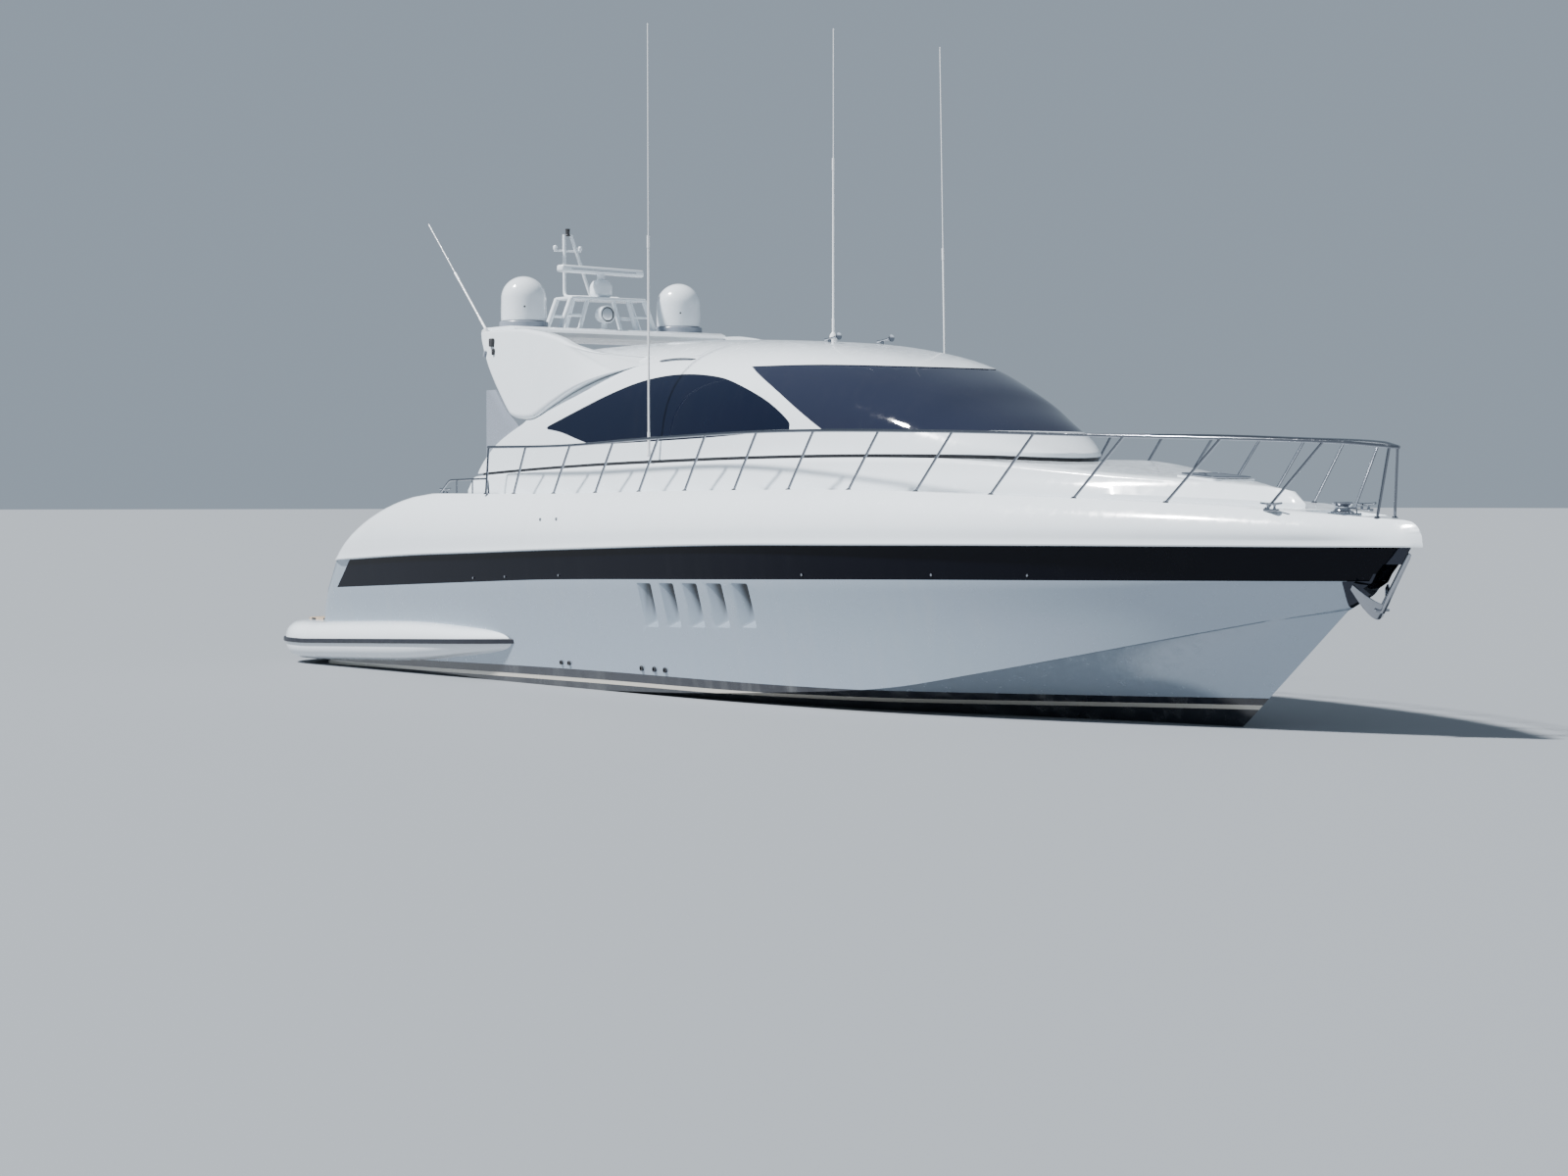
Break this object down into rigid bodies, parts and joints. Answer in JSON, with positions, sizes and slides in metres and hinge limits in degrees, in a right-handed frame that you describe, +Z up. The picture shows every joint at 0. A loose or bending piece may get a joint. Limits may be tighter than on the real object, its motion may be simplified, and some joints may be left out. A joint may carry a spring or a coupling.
{
  "type": "motor yacht",
  "caption": "Planing motor yacht with hardtop saloon, arched side windows, arch beam with domes and radar, open cockpit, swim platform, guard rails, twin screws and rudders.",
  "frame": {"origin": "On the centreline at the waterline, amidships of the 22 m length overall", "axes": "+X forward to the bow, +Y to port, +Z up"},
  "size_m": [22.0345, 5.4726, 10.2233],
  "materials": {
    "white_gelcoat": "polished white gelcoat",
    "silver_gelcoat": "metallic silver-grey topsides with darker bottom paint",
    "black_gelcoat": "near-black gloss with long dark hull windows",
    "rub_rail": "dark rubber with a satin face",
    "teak": "laid teak with dark caulking",
    "varnished_wood": "varnished teak",
    "dark_seal": "matt black joint",
    "dark_glass": "tinted gloss glass",
    "grey_panel": "light grey gloss",
    "stainless": "polished stainless steel",
    "bronze": "cast bronze, slightly dull",
    "aerial": "white fibreglass",
    "engine_paint": "dark engine enamel",
    "dark_trim": "satin black",
    "cushion": "cream outdoor vinyl with piped seams",
    "leather": "light beige leather"
  },
  "bodies": {
    "boat": {"hull": "silver_gelcoat", "hull_band_starboard": "black_gelcoat", "hull_band_port": "black_gelcoat", "deck_moulding": "white_gelcoat", "swim_platform": "white_gelcoat", "platform_rub_rail": "rub_rail", "platform_teak": "teak", "cabin_seal": "dark_seal", "arch_moulding": "white_gelcoat", "cabin_shell": "white_gelcoat", "side_window_starboard": "dark_glass", "side_window_port": "dark_glass", "windscreen": "dark_glass", "cockpit_screen_starboard": "grey_panel", "cockpit_screen_port": "grey_panel", "aft_bulkhead": "white_gelcoat", "bulkhead_pane": "dark_glass", "arch_beam": "white_gelcoat", "dome_starboard": "white_gelcoat", "dome_port": "white_gelcoat", "radar_mast": "white_gelcoat", "searchlight": "white_gelcoat", "whip_roof": "aerial", "whip_wing": "aerial", "guard_rail_starboard": "stainless", "guard_rail_port": "stainless", "anchor": "stainless", "windlass": "stainless", "cleat_fore_starboard": "stainless", "cleat_aft_starboard": "stainless", "cleat_fore_port": "stainless", "cleat_aft_port": "stainless", "shaft_bracket_starboard": "bronze", "shaft_bracket_port": "bronze", "cockpit_sole": "teak", "saloon_sole": "teak", "engine_starboard": "engine_paint", "engine_port": "engine_paint", "cockpit_settee": "white_gelcoat", "settee_cushion_aft": "cushion", "settee_cushion_port": "cushion", "cockpit_table": "varnished_wood", "cockpit_bar": "white_gelcoat", "aft_sunpad": "cushion", "helm_console": "dark_trim", "helm_wheel": "dark_trim", "helm_seats": "leather", "saloon_sofa": "leather"},
    "propeller_starboard": {"propeller_starboard": "bronze"},
    "propeller_port": {"propeller_port": "bronze"},
    "rudder_starboard": {"rudder_starboard": "bronze"},
    "rudder_port": {"rudder_port": "bronze"},
    "radar_scanner": {"radar_scanner": "white_gelcoat"},
    "saloon_door": {"saloon_door": "dark_glass"},
    "garage_door": {"garage_door": "white_gelcoat"},
    "fore_hatch_lid": {"fore_hatch_lid": "dark_glass"},
    "whip_starboard": {"whip_starboard": "aerial"},
    "whip_port": {"whip_port": "aerial"}
  },
  "joints": [
    {"name": "propeller_starboard_hinge", "type": "hinge", "parent": "boat", "child": "propeller_starboard", "pos_m": [-8.45, -0.95, -1.08], "axis": [0.9904, 0, 0.1383], "continuous": true},
    {"name": "propeller_port_hinge", "type": "hinge", "parent": "boat", "child": "propeller_port", "pos_m": [-8.45, 0.95, -1.08], "axis": [0.9904, 0, 0.1383], "continuous": true},
    {"name": "rudder_starboard_hinge", "type": "hinge", "parent": "boat", "child": "rudder_starboard", "pos_m": [-9.15, -0.95, -0.7], "axis": [0, 0, 1], "range_deg": [-35, 35]},
    {"name": "rudder_port_hinge", "type": "hinge", "parent": "boat", "child": "rudder_port", "pos_m": [-9.15, 0.95, -0.7], "axis": [0, 0, 1], "range_deg": [-35, 35]},
    {"name": "radar_scanner_hinge", "type": "hinge", "parent": "boat", "child": "radar_scanner", "pos_m": [-5.12, 0, 5.765], "axis": [0, 0, 1], "continuous": true},
    {"name": "saloon_door_slide", "type": "slide", "parent": "boat", "child": "saloon_door", "axis": [0, 1, 0], "range_m": [0, 0.82]},
    {"name": "garage_door_hinge", "type": "hinge", "parent": "boat", "child": "garage_door", "pos_m": [-8.07123, 0, 2.08], "axis": [0, 1, 0], "range_deg": [0, 60]},
    {"name": "fore_hatch_lid_hinge", "type": "hinge", "parent": "boat", "child": "fore_hatch_lid", "pos_m": [8.19192, 0, 2.73766], "axis": [0, 1, 0], "range_deg": [0, 70]},
    {"name": "whip_starboard_hinge", "type": "hinge", "parent": "boat", "child": "whip_starboard", "pos_m": [-0.4, -2.18, 3.08], "axis": [0, -1, 0], "range_deg": [0, 80]},
    {"name": "whip_port_hinge", "type": "hinge", "parent": "boat", "child": "whip_port", "pos_m": [0.25, 2.18, 3.08], "axis": [0, -1, 0], "range_deg": [0, 80]}
  ]
}
